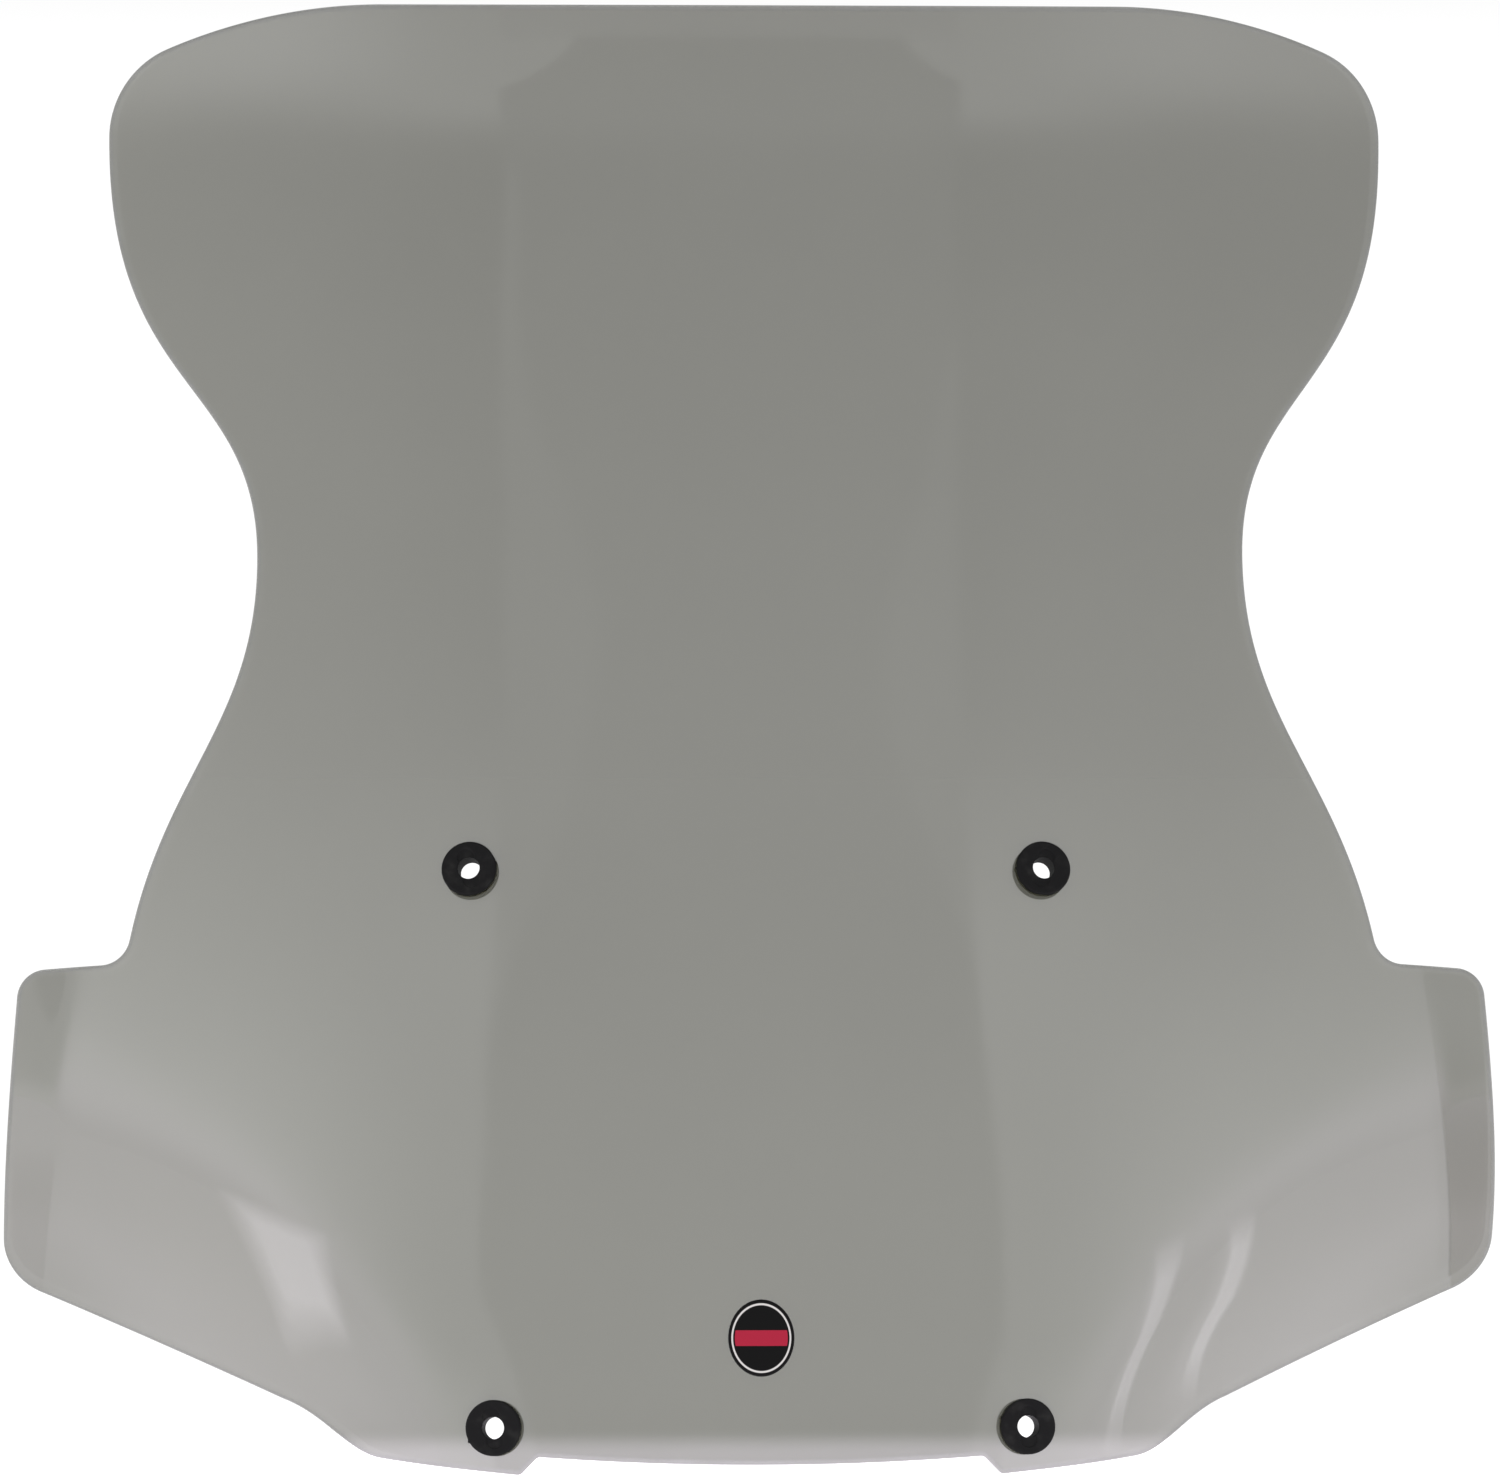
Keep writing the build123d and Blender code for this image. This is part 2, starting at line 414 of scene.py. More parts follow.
@dataclass(frozen=True)
class SmokeSheet(Finish):
    """Polished clear sheet with a light smoke dye, faintly wavy from forming and finely hairlined.

    It grows denser where one looks along it. Its opacity also rises towards the top, and in the strips outside
    the flare lines, more on the right and fading upwards: painted shade.
    """

    name: str = "smoke_sheet"
    opacity: float = 0.600
    edge_gain: float = 0.08
    # painted shade: the sheet is made more opaque towards the top and in the strips outside the flare lines
    top_painted_shade: float = 0.035
    top_shade_rise: Rise = (0.25, 0.56)
    strip_painted_shade: float = 0.25
    strip_line: float = 0.2962
    strip_spread: float = 0.13
    strip_soft: float = 0.0008
    strip_top: Rise = (0.215, 0.235, 1.0, 0.0)
    strip_shade_side: Rise = (-0.1, 0.1, 0.22, 1.0)
    strip_shade_fall: Rise = (0.10, 0.18, 0.0, 0.85)
    mottle: float = 0.010
    gloss: float = 0.045
    cloud_roughness: float = 0.03
    index: float = 1.85
    wave_count: float = 14.0
    wave_height: float = 0.0003
    hairline_count: float = 900.0
    hairline_turn: Place = (0.2, 0.5, 0.0)
    hairline_stretch: Place = (1.0, 0.05, 0.04)
    hairline_rise: Rise = (0.66, 0.78)
    hairline_roughness: float = 0.02

    def surface(self, bench: Bench, place: Wire) -> dict[str, object]:
        """Gives the shader's inputs.

        Args:
            bench: The material's tree.
            place: Object coordinates.

        Returns:
            Values and wires for the shader.
        """
        cloud = bench.noise(place, self.wave_count, detail=3.0)
        facing = bench.add("ShaderNodeLayerWeight", inputs={"Blend": 0.5}, out="Facing")
        laid = {"Vector": place, "Rotation": self.hairline_turn, "Scale": self.hairline_stretch}
        stretched = bench.add("ShaderNodeMapping", inputs=laid)
        hairlines = bench.ramp(bench.noise(stretched, self.hairline_count, detail=1.0), *self.hairline_rise)
        wave = bench.noise(place, self.wave_count, detail=0.0)
        across, _, up = bench.split(place)
        line = magnitude(across) + up * self.strip_spread - self.strip_line
        # painted shade: a darker strip outside each flare line, stronger on the right side and fading upwards
        strip = bench.ramp(line, -self.strip_soft, self.strip_soft) * bench.ramp(up, *self.strip_top)
        painted_shade_depth = bench.ramp(across, *self.strip_shade_side) - bench.ramp(up, *self.strip_shade_fall)
        alpha = self.opacity + facing * facing * facing * self.edge_gain
        # painted shade: the sheet is made more opaque towards the top
        alpha = alpha + bench.ramp(up, *self.top_shade_rise) * self.top_painted_shade
        # painted shade: the strips outside the flare lines are made more opaque
        alpha = alpha + strip * larger(painted_shade_depth, 0.0) * self.strip_painted_shade
        return {
            "Base Color": bench.mixed(cloud, Dye.SMOKE.paint(), Dye.SMOKE_THIN.paint()),
            "Roughness": self.gloss + cloud * self.cloud_roughness + hairlines * self.hairline_roughness,
            "Alpha": alpha + (cloud - 0.5) * self.mottle,
            "IOR": self.index,
            "Normal": bench.bump(wave, self.wave_height),
        }


@dataclass(frozen=True)
class CutRim(Finish):
    """The sheet's rim, where one looks along the dyed sheet: darker, and flame polished."""

    name: str = "polished_rim"
    opacity: float = 0.56
    mottle: float = 0.1
    gloss: float = 0.12
    cloud_roughness: float = 0.10
    cloud_count: float = 60.0
    index: float = 1.6
    tool_count: float = 260.0
    tool_height: float = 0.0002
    tool_strength: float = 0.25

    def surface(self, bench: Bench, place: Wire) -> dict[str, object]:
        """Gives the shader's inputs.

        Args:
            bench: The material's tree.
            place: Object coordinates.

        Returns:
            Values and wires for the shader.
        """
        cloud = bench.noise(place, self.cloud_count, detail=3.0)
        tooling = bench.noise(place, self.tool_count, detail=1.0)
        return {
            "Base Color": bench.mixed(cloud, Dye.SMOKE_DEEP.paint(), Dye.SMOKE.paint()),
            "Roughness": self.gloss + cloud * self.cloud_roughness,
            "Alpha": self.opacity + (cloud - 0.5) * self.mottle,
            "IOR": self.index,
            "Normal": bench.bump(tooling, self.tool_height, self.tool_strength),
        }


@dataclass(frozen=True)
class MouldedRubber(Finish):
    """Matte black rubber with a fine mould grain and a little dust."""

    name: str = "moulded_rubber"
    gloss: float = 0.56
    patch_roughness: float = 0.16
    patch_count: float = 210.0
    dust_rise: Rise = (0.46, 0.80, 0.0, 0.55)
    shine: float = 0.07
    grain_count: float = 3200.0
    grain_height: float = 0.00006
    grain_strength: float = 0.5

    def surface(self, bench: Bench, place: Wire) -> dict[str, object]:
        """Gives the shader's inputs.

        Args:
            bench: The material's tree.
            place: Object coordinates.

        Returns:
            Values and wires for the shader.
        """
        grain = bench.noise(place, self.grain_count)
        patch = bench.noise(place, self.patch_count, detail=3.0)
        dust = bench.ramp(patch, *self.dust_rise)
        return {
            "Base Color": bench.mixed(dust, Dye.RUBBER.paint(), Dye.RUBBER_DUST.paint()),
            "Roughness": self.gloss + patch * self.patch_roughness,
            "Specular IOR Level": self.shine,
            "Normal": bench.bump(grain, self.grain_height, self.grain_strength),
        }


@dataclass(frozen=True)
class PrintedFilm(Finish):
    """Gloss black film with a thin pale keyline and one plain red band."""

    name: str = "printed_film"
    centre: Place = (0.0, 0.0, 0.054)
    half_width: float = 0.013
    half_height: float = 0.015
    line_inner: float = 0.855
    line_outer: float = 0.905
    band_half: float = 0.0030
    band_reach: float = 0.800
    blur: float = 0.00010
    gloss: float = 0.16
    shine: float = 0.06
    fleck_count: float = 2600.0
    fleck_share: float = 0.35
    fleck_roughness: float = 0.08

    def surface(self, bench: Bench, place: Wire) -> dict[str, object]:
        """Gives the shader's inputs.

        Args:
            bench: The material's tree.
            place: Object coordinates.

        Returns:
            Values and wires for the shader.
        """
        moved = bench.add("ShaderNodeVectorMath", {"operation": "SUBTRACT"}, {0: place, 1: self.centre})
        across, _, up = bench.split(moved)
        wide, tall = across / self.half_width, up / self.half_height
        reach = (wide * wide + tall * tall).maths("SQRT")
        soft = self.blur / self.half_width
        past_inner, past_outer, past_band = (
            bench.ramp(reach, edge - soft, edge + soft)
            for edge in (self.line_inner, self.line_outer, self.band_reach)
        )
        band = bench.ramp(magnitude(up), self.band_half, self.band_half + self.blur, 1.0, 0.0)
        fleck = bench.noise(place, self.fleck_count)
        ink = bench.mixed(past_inner - past_outer, Dye.INK_BLACK.paint(), Dye.INK_PALE.paint())
        red = bench.mixed(fleck * self.fleck_share, Dye.INK_RED.paint(), Dye.INK_RED_DEEP.paint())
        return {
            "Base Color": bench.mixed(band * (1.0 - past_band), ink, red),
            "Roughness": self.gloss + fleck * self.fleck_roughness,
            "Specular IOR Level": self.shine,
        }


@dataclass(frozen=True)
class StudioPaper(Finish):
    """Pale glowing paper: evenly white behind the screen, and a painted pool of brighter, faintly lilac glow
    before it.
    """

    name: str = "studio_paper"
    glow: float = 2.15
    behind: float = 0.465
    fibre_count: float = 40.0
    roughness: float = 0.9
    foot_fall: Rise = (0.02, 0.14, 1.0, 0.0)
    far_fall: Rise = (-1.6, -0.7, 0.10, 1.0)

    def surface(self, bench: Bench, place: Wire) -> dict[str, object]:
        """Gives the shader's inputs.

        Args:
            bench: The material's tree.
            place: Object coordinates.

        Returns:
            Values and wires for the shader.
        """
        fibre = bench.noise(place, self.fibre_count, detail=4.0)
        _, deep, _ = bench.split(place)
        # painted light: a brighter, faintly lilac pool of glow on the floor before the screen, fading out
        # behind it and far away
        before = bench.ramp(deep, *self.foot_fall) * bench.ramp(deep, *self.far_fall)
        white = (self.behind, self.behind, self.behind, 1.0)
        return {
            "Base Color": bench.mixed(fibre, Dye.PAPER.paint(), Dye.PAPER_PALE.paint()),
            "Roughness": self.roughness,
            "Specular IOR Level": 0.0,
            "Emission Color": bench.mixed(before, white, Dye.DUSK.paint()),
            "Emission Strength": self.glow,
        }


# ---------------------------------------------------------------- the sheet's form


def bend(run: Number, softness: Number) -> Number:
    """Gives the depth gained by going a distance past a soft bend of unit slope."""
    turns = run / softness
    return softness * (larger(turns, 0.0) + logarithm(1.0 + exponential(-magnitude(turns))))


def face_depth(x: Number, z: Number, size: Mapping[str, Number]) -> Number:
    """Gives the depth of the front face behind the foot of the centreline.

    Args:
        x: Place across the screen.
        z: Height.
        size: The sizes of a SheetForm, by name.

    Returns:
        The depth, as a number or as a wire, as the places are.
    """
    depth = size["foot_lean"] * z + x * x / (2.0 * size["crown_radius"])
    gain = size["middle_lean"] - size["foot_lean"]
    depth = depth + gain * bend(z - size["middle_bend_height"], size["middle_bend_softness"])
    loss = size["middle_lean"] - size["upper_lean"]
    depth = depth - loss * bend(z - size["upper_bend_height"], size["upper_bend_softness"])
    roll = size["upper_lean"] - size["lip_lean"]
    depth = depth - roll * bend(z - size["lip_bend_height"], size["lip_softness"])
    fold_line = size["fold_start"] + size["fold_spread"] * z + size["fold_curl"] * z * z
    rise = z / size["fold_fade"]
    fold = size["fold_slope"] * exponential(-(rise * rise))
    depth = depth + fold * bend(magnitude(x) - fold_line, size["fold_softness"])
    flare_line = size["flare_line"] - size["flare_spread"] * (z - size["flare_foot"])
    flare = size["flare_slope"] / (1.0 + exponential((z - size["flare_height"]) / size["flare_fade"]))
    return depth - flare * bend(magnitude(x) - flare_line, size["flare_softness"])


@dataclass(frozen=True)
class SheetForm:
    """How the flat sheet is formed: its crown, leans, lower folds and flared wing tips."""

    crown_radius: float = 0.640
    foot_lean: float = 0.070
    middle_lean: float = 0.325
    upper_lean: float = 0.160
    lip_lean: float = -0.200
    middle_bend_height: float = 0.120
    middle_bend_softness: float = 0.050
    upper_bend_height: float = 0.400
    upper_bend_softness: float = 0.045
    lip_bend_height: float = 0.548
    lip_softness: float = 0.009
    fold_slope: float = 0.90
    fold_start: float = 0.140
    fold_spread: float = 0.25
    fold_curl: float = 2.8
    fold_fade: float = 0.095
    fold_softness: float = 0.010
    flare_line: float = 0.285
    flare_foot: float = 0.0864
    flare_spread: float = 0.13
    flare_slope: float = 0.45
    flare_softness: float = 0.0018
    flare_height: float = 0.230
    flare_fade: float = 0.008

    def middle(self, deepest_x: float, deepest_z: float, thickness: float) -> float:
        """Gives the depth halfway between the foot and the deepest point of the back face.

        Args:
            deepest_x: The deepest point's place across the screen.
            deepest_z: Its height.
            thickness: The sheet's thickness.

        Returns:
            The depth.
        """
        sizes = asdict(self)
        back = face_depth(deepest_x, deepest_z, sizes) + thickness
        return (face_depth(0.0, 0.0, sizes) + back) / 2

    def depth_tree(self) -> Press:
        """Builds the group that gives the face's depth at a place.

        Returns:
            The tree, with inputs X and Z and one for each size.
        """
        press = Press("depth_of_the_face")
        x, z = press.size("X"), press.size("Z")
        sizes = {name: press.size(name) for name in asdict(self)}
        press.result(face_depth(x, z, sizes), "Depth", "Float")
        return press

    def tree(self, step: float = 0.0005) -> Press:
        """Builds the tree that forms a flat mesh.

        A flat mesh has its place on the screen in X and Z, and how far through the sheet it lies in Y.

        Args:
            step: The distance over which slopes are measured.

        Returns:
            The tree, with an input for each size.
        """
        depth_group = self.depth_tree().tree
        press = Press("form_the_sheet")
        geometry = press.size("Geometry", "Geometry")
        sizes = {name: press.size(name) for name in asdict(self)}
        middle = press.size("middle_depth")
        face = press.size("Face finish", "Material")
        rim = press.size("Rim finish", "Material")
        x, through, z = press.split(press.add("GeometryNodeInputPosition"))

        def depth(at_x: Wire, at_z: Wire) -> Wire:
            """Adds the depth group at a place."""
            return press.add("GeometryNodeGroup", {"node_tree": depth_group}, {"X": at_x, "Z": at_z, **sizes})

        across = (depth(x + step, z) - depth(x - step, z)) / (2 * step)
        upward = (depth(x, z + step) - depth(x, z - step)) / (2 * step)
        sink = through / (across * across + upward * upward + 1.0).maths("SQRT")
        point = press.add(
            "ShaderNodeCombineXYZ",
            inputs={"X": x - across * sink, "Y": depth(x, z) - middle + sink, "Z": z - upward * sink},
        )
        formed = press.add("GeometryNodeSetPosition", inputs={"Geometry": geometry, "Position": point})
        is_rim = press.add("GeometryNodeInputNamedAttribute", {"data_type": "BOOLEAN"}, {"Name": "rim"})
        press.close(formed, [(face, None), (rim, is_rim)])
        return press


# ---------------------------------------------------------------- outlines


@dataclass
class Pen:
    """Draws a run of points on the screen's front view."""

    step: float
    widest_turn: float = 0.11
    curve_slack: float = 1.1
    heading: Vector = field(default_factory=lambda: Vector((1.0, 0.0)))
    points: list[Vector] = field(default_factory=list)

    def line(self, end: Sequence[float]) -> None:
        """Draws straight on.

        Args:
            end: The point to draw to.
        """
        start, end = self.points[-1], Vector(end)
        count = max(1, math.ceil((end - start).length / self.step))
        self.points += [start.lerp(end, i / count) for i in range(1, count + 1)]
        self.heading = (end - start).normalized()

    def arc(self, end: Sequence[float]) -> None:
        """Draws an arc that starts along the present heading.

        Args:
            end: The point to draw to.
        """
        start, side = self.points[-1], Vector((-self.heading.y, self.heading.x))
        chord = Vector(end) - start
        radius = chord.length_squared / (2 * chord.dot(side))
        sweep = 2 * math.atan2(chord.dot(side), chord.dot(self.heading))
        count = math.ceil(max(abs(radius * sweep) / self.step, abs(sweep) / self.widest_turn))
        for i in range(1, count + 1):
            turn = sweep * i / count
            self.points.append(start + (self.heading * math.sin(turn) + side * (1 - math.cos(turn))) * radius)
        self.heading = self.heading * math.cos(sweep) + side * math.sin(sweep)

    def curve(self, first: Sequence[float], second: Sequence[float], end: Sequence[float]) -> None:
        """Draws a smooth curve.

        Args:
            first: The handle of its start.
            second: The handle of its end.
            end: The point to draw to.
        """
        start, first, second, end = self.points[-1], Vector(first), Vector(second), Vector(end)
        count = math.ceil((end - start).length * self.curve_slack / self.step)
        for i in range(1, count + 1):
            t = i / count
            low = start * (1 - t) ** 3 + first * 3 * t * (1 - t) ** 2
            self.points.append(low + second * 3 * t * t * (1 - t) + end * t**3)
        self.heading = (end - second).normalized()

    def corner(self, corner: Sequence[float], after: Sequence[float], radius: float) -> None:
        """Draws to a corner and round it.

        Args:
            corner: The sharp corner.
            after: The point that comes after it.
            radius: The corner's rounding.
        """
        corner = Vector(corner)
        inward = (corner - self.points[-1]).normalized()
        outward = (Vector(after) - corner).normalized()
        cut = radius * math.tan(inward.angle(outward) / 2)
        self.line(corner - inward * cut)
        self.arc(corner + outward * cut)


@dataclass(frozen=True)
class ScreenOutline:
    """The sheet's outline from the front, one half of it, which the other mirrors."""

    half_width: float = 0.3030
    height: float = 0.5880
    top_sag: float = 0.0014
    top_half: float = 0.2624
    top_fall_width: float = 0.1124
    top_corner_width: float = 0.0240
    top_corner_drop: float = 0.0159
    top_widest_drop: float = 0.0517
    waist_half: float = 0.2003
    waist_height: float = 0.3622
    flank_half: float = 0.2509
    flank_height: float = 0.2087
    widest_pull: float = 0.608
    waist_pull_up: float = 0.425
    waist_pull_down: float = 0.431
    flank_pull: float = 0.442
    flank_pull_in: float = 0.091
    root_round: float = 0.0110
    root_drop: float = 0.0100
    wing_top_fall: float = 0.0018
    tip_lean: float = 0.0072
    tip_round: float = 0.0110
    low_corner_height: float = 0.0864
    low_corner_width: float = 0.0158
    low_corner_drop: float = 0.0235
    wing_root: tuple[float, float] = (0.1890, 0.0259)
    root_pull: tuple[float, float] = (-0.0170, -0.0050)
    shoulder: tuple[float, float] = (0.1500, 0.0052)
    shoulder_pull: tuple[float, float] = (0.0130, 0.0013)
    toe: tuple[float, float] = (0.0950, 0.00026)
    toe_run: float = 0.0070
    toe_step: float = 0.0074
    toe_round: float = 0.0026
    heel_run: float = 0.0050
    bottom_sag: float = 0.0028

    @property
    def top_widest_height(self) -> float:
        """Gives the height of the widest part of the flared top."""
        return self.height - self.top_widest_drop

    def loop(self, step: float) -> list[Vector]:
        """Draws the closed outline.

        Args:
            step: The longest distance between two points.

        Returns:
            The points, starting at the middle of the top edge and going round by the right side.
        """
        widest, waist, flank = self.top_widest_height, self.waist_height, self.flank_height
        rise, drop = widest - waist, waist - flank
        pen = Pen(step, points=[Vector((0.0, self.height - self.top_sag))])
        pen.arc((self.top_half - self.top_fall_width, self.height))
        pen.arc((self.top_half - self.top_corner_width, self.height - self.top_corner_drop))
        pen.arc((self.top_half, widest))
        pen.curve(
            (self.top_half, widest - self.widest_pull * rise),
            (self.waist_half, waist + self.waist_pull_up * rise),
            (self.waist_half, waist),
        )
        pen.curve(
            (self.waist_half, waist - self.waist_pull_down * drop),
            (self.flank_half - self.flank_pull_in * drop, flank + self.flank_pull * drop),
            (self.flank_half, flank),
        )
        wing_top = Vector((self.flank_half + self.root_round, flank - self.root_drop))
        side = self.half_width - self.tip_lean
        tip_top = wing_top.y - self.wing_top_fall
        pen.arc(wing_top)
        pen.line((side - self.tip_round, tip_top))
        pen.arc((side, tip_top - self.tip_round))
        pen.arc((self.half_width, self.low_corner_height))
        foot = self.low_corner_height - self.low_corner_drop
        pen.arc((self.half_width - self.low_corner_width, foot))
        pen.line(self.wing_root)
        root, shoulder = Vector(self.wing_root), Vector(self.shoulder)
        pen.curve(root + Vector(self.root_pull), shoulder + Vector(self.shoulder_pull), shoulder)
        heel = Vector((self.toe[0] - self.toe_run, self.toe_step))
        fall = 2 * self.bottom_sag * self.heel_run / self.toe[0]
        heel_end = Vector((heel.x - self.heel_run, self.toe_step - fall))
        pen.corner(self.toe, heel, self.toe_round)
        pen.corner(heel, heel_end, self.toe_round)
        pen.line(heel_end)
        middle = Pen(step, points=[Vector((0.0, self.toe_step - self.bottom_sag))])
        middle.arc(heel_end)
        half = pen.points + middle.points[-2::-1]
        return half + [Vector((-p.x, p.y)) for p in reversed(half[1:-1])]


def drawn_in(loop: Sequence[Vector], inset: float) -> list[Vector]:
    """Moves a clockwise loop's points inwards.

    Args:
        loop: The closed loop, drawn clockwise.
        inset: How far each side moves.

    Returns:
        The moved points.
    """
    moved = []
    for before, point, after in zip([loop[-1], *loop[:-1]], loop, [*loop[1:], loop[0]]):
        first, second = (point - before).normalized(), (after - point).normalized()
        sides = Vector((first.y, -first.x)), Vector((second.y, -second.x))
        moved.append(point + (sides[0] + sides[1]) * (inset / (1 + sides[0].dot(sides[1]))))
    return moved


def rounded_rim(thickness: float, radius: float, margin: float, spans: int) -> Profile:
    """Gives the section of a rim with both edges rounded.

    Args:
        thickness: The sheet's thickness.
        radius: The rounding of each edge.
        margin: Width of the flat ring inside the rounding.
        spans: Spans in each rounding.

    Returns:
        Pairs of inset and distance through the sheet, from the front ring to the back one.
    """
    front = [(radius + margin, 0.0)]
    for i in range(spans + 1):
        turn = math.pi / 2 * i / spans
        front.append((radius * (1 - math.sin(turn)), radius * (1 - math.cos(turn))))
    return front + [(inset, thickness - depth) for inset, depth in reversed(front)]


@dataclass(frozen=True)
class Mount:
    """A grommet's place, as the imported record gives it."""

    centre: Vector
    axis: Vector
    length: float
    bore_radius: float

    @classmethod
    def read(cls, name: str) -> "Mount":
        """Reads a mount of the record.

        Args:
            name: The mount's name.

        Returns:
            The mount.
        """
        row = next(m for m in frame["record"]["mounts"] if m["name"] == name)
        length, radius = row["dims"]["length_mm"] / 1000, row["dims"]["r_mm"] / 1000
        return cls(Vector(row["pos_m"]), Vector(row["axis"]).normalized(), length, radius)


class Corner(Enum):
    """The four places of a grommet."""

    UPPER_LEFT = "upper_left"
    UPPER_RIGHT = "upper_right"
    LOWER_LEFT = "lower_left"
    LOWER_RIGHT = "lower_right"

    @property
    def node(self) -> str:
        """Gives the CAD node's name."""
        return f"grommet_{self.value}"

    @property
    def mount(self) -> Mount:
        """Gives the place and size of the bore."""
        return Mount.read(f"{self.value}_bore")


# ---------------------------------------------------------------- the screen


@dataclass
class Screen:
    """The formed sheet, with its holes and its rounded rim."""

    outline: ScreenOutline = field(default_factory=ScreenOutline)
    form: SheetForm = field(default_factory=SheetForm)
    thickness: float = 0.0045
    rim_round: float = 0.0011
    rim_margin: float = 0.0007
    rim_spans: int = 4
    hole_radius: float = 0.00675
    hole_points: int = 48
    edge_step: float = 0.0026
    grid_step: float = 0.0046
    fine_band: float = 0.011
    clearance: float = 0.55
    hole_cover: float = 0.93
    weld: float = 1e-7

    def hole_loops(self) -> list[tuple[Vector, Vector, Vector]]:
        """Finds the holes as they look from the front.

        Returns:
            Each hole's centre, and the two ways across it.
        """
        loops = []
        for corner in Corner:
            mount = corner.mount
            centre = mount.centre + mount.axis * (self.thickness / 2)
            across = Vector((1.0, 0.0, 0.0))
            across = (across - mount.axis * across.dot(mount.axis)).normalized()
            up = across.cross(mount.axis)
            loops.append(tuple(Vector((v.x, v.z)) for v in (centre, across, up)))
        return loops

    def ring(self, hole: tuple[Vector, Vector, Vector], radius: float) -> list[Vector]:
        """Draws a ring about a hole.

        Args:
            hole: The hole's centre and the two ways across it.
            radius: The ring's radius.

        Returns:
            The ring's points.
        """
        centre, across, up = hole
        turns = [2 * math.pi * i / self.hole_points for i in range(self.hole_points)]
        return [centre + (across * math.cos(t) + up * math.sin(t)) * radius for t in turns]

    def grid(self, rings: Sequence[Sequence[Vector]]) -> np.ndarray:
        """Lays staggered points over the sheet, closer along the flared strips.

        Args:
            rings: The outer ring and the rings about the holes, which points stay clear of.

        Returns:
            The points, one to a row.
        """
        step, rise = self.grid_step, self.grid_step * math.sqrt(0.75)
        places = []
        columns = int(self.outline.half_width / step) + 1
        for j in range(int(self.outline.height / rise) + 1):
            z, shift = j * rise, step / 2 * (j % 2)
            flare_line = self.form.flare_line - self.form.flare_spread * (z - self.form.flare_foot)
            for i in range(-columns, columns + 1):
                x = i * step + shift
                near = abs(abs(x) - flare_line) < self.fine_band and z < self.form.flare_height
                if near:
                    places += [(x + a * step / 4, z + b * rise / 4) for a in (-1, 1) for b in (-1, 1)]
                else:
                    places.append((x, z))
        points = np.array(places)
        inside = np.zeros(len(points), bool)
        nearest = np.full(len(points), 1.0)
        for ring in rings:
            for a, b in zip(ring, [*ring[1:], ring[0]]):
                nearest = np.minimum(nearest, np.hypot(points[:, 0] - a.x, points[:, 1] - a.y))
                if a.y != b.y:
                    spans = (points[:, 1] < a.y) != (points[:, 1] < b.y)
                    crossing = a.x + (points[:, 1] - a.y) * (b.x - a.x) / (b.y - a.y)
                    inside ^= spans & (points[:, 0] < crossing)
        return points[inside & (nearest > self.clearance * step / 2)]

    def flat(self) -> bpy.types.Mesh:
        """Builds the flat sheet: both faces over one net of triangles, and the rims between them.

        Returns:
            The flat mesh, with its rim faces marked.
        """
        profile = rounded_rim(self.thickness, self.rim_round, self.rim_margin, self.rim_spans)
        edge, holes = self.outline.loop(self.edge_step), self.hole_loops()
        sections = [[drawn_in(edge, inset) for inset, _ in profile]]
        sections += [[self.ring(hole, self.hole_radius + inset) for inset, _ in profile] for hole in holes]
        rings = [section[0] for section in sections]
        points, edges = [], []
        for ring in rings:
            first, count = len(points), len(ring)
            points += ring
            edges += [(first + i, first + (i + 1) % count) for i in range(count)]
        points += [Vector(p) for p in self.grid(rings)]
        net, _, triangles, sources, _, _ = delaunay_2d_cdt(points, edges, [], 1, self.weld)
        reach = (self.hole_radius + self.rim_round + self.rim_margin) * self.hole_cover
        kept = []
        for triangle in triangles:
            centre = sum((net[i] for i in triangle), Vector((0.0, 0.0))) / 3
            if all((centre - hole[0]).length > reach for hole in holes):
                kept.append(triangle)
        places = {source: i for i, found in enumerate(sources) for source in found}
        count = len(net)
        vertices = [(p.x, 0.0, p.y) for p in net] + [(p.x, self.thickness, p.y) for p in net]
        faces = [tuple(t) for t in kept] + [tuple(count + i for i in reversed(t)) for t in kept]
        rim_from, start = len(faces), 0
        for section in sections:
            size = len(section[0])
            front = [places[start + i] for i in range(size)]
            start += size
            rows = [front]
            for ring, (_, through) in list(zip(section, profile))[1:-1]:
                rows.append(list(range(len(vertices), len(vertices) + size)))
                vertices += [(p.x, through, p.y) for p in ring]
            rows.append([count + i for i in front])
            for near, far in zip(rows, rows[1:]):
                faces += between(near, far)
        mesh = bpy.data.meshes.new("flat_sheet")
        mesh.from_pydata(vertices, [], faces)
        used = np.zeros(len(faces), bool)
        used[rim_from:] = True
        mesh.attributes.new("rim", "BOOLEAN", "FACE").data.foreach_set("value", used)
        return mesh

    def build(self, press: Press, values: Mapping[str, object]) -> bpy.types.Object:
        """Builds and dresses the sheet.

        Args:
            press: The forming tree.
            values: Its inputs.

        Returns:
            The finished sheet.
        """
        piece = press.run("screen_sheet", self.flat(), values)
        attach(piece, BODY)
        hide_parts("screen_panel")
        return piece


# ---------------------------------------------------------------- grommets


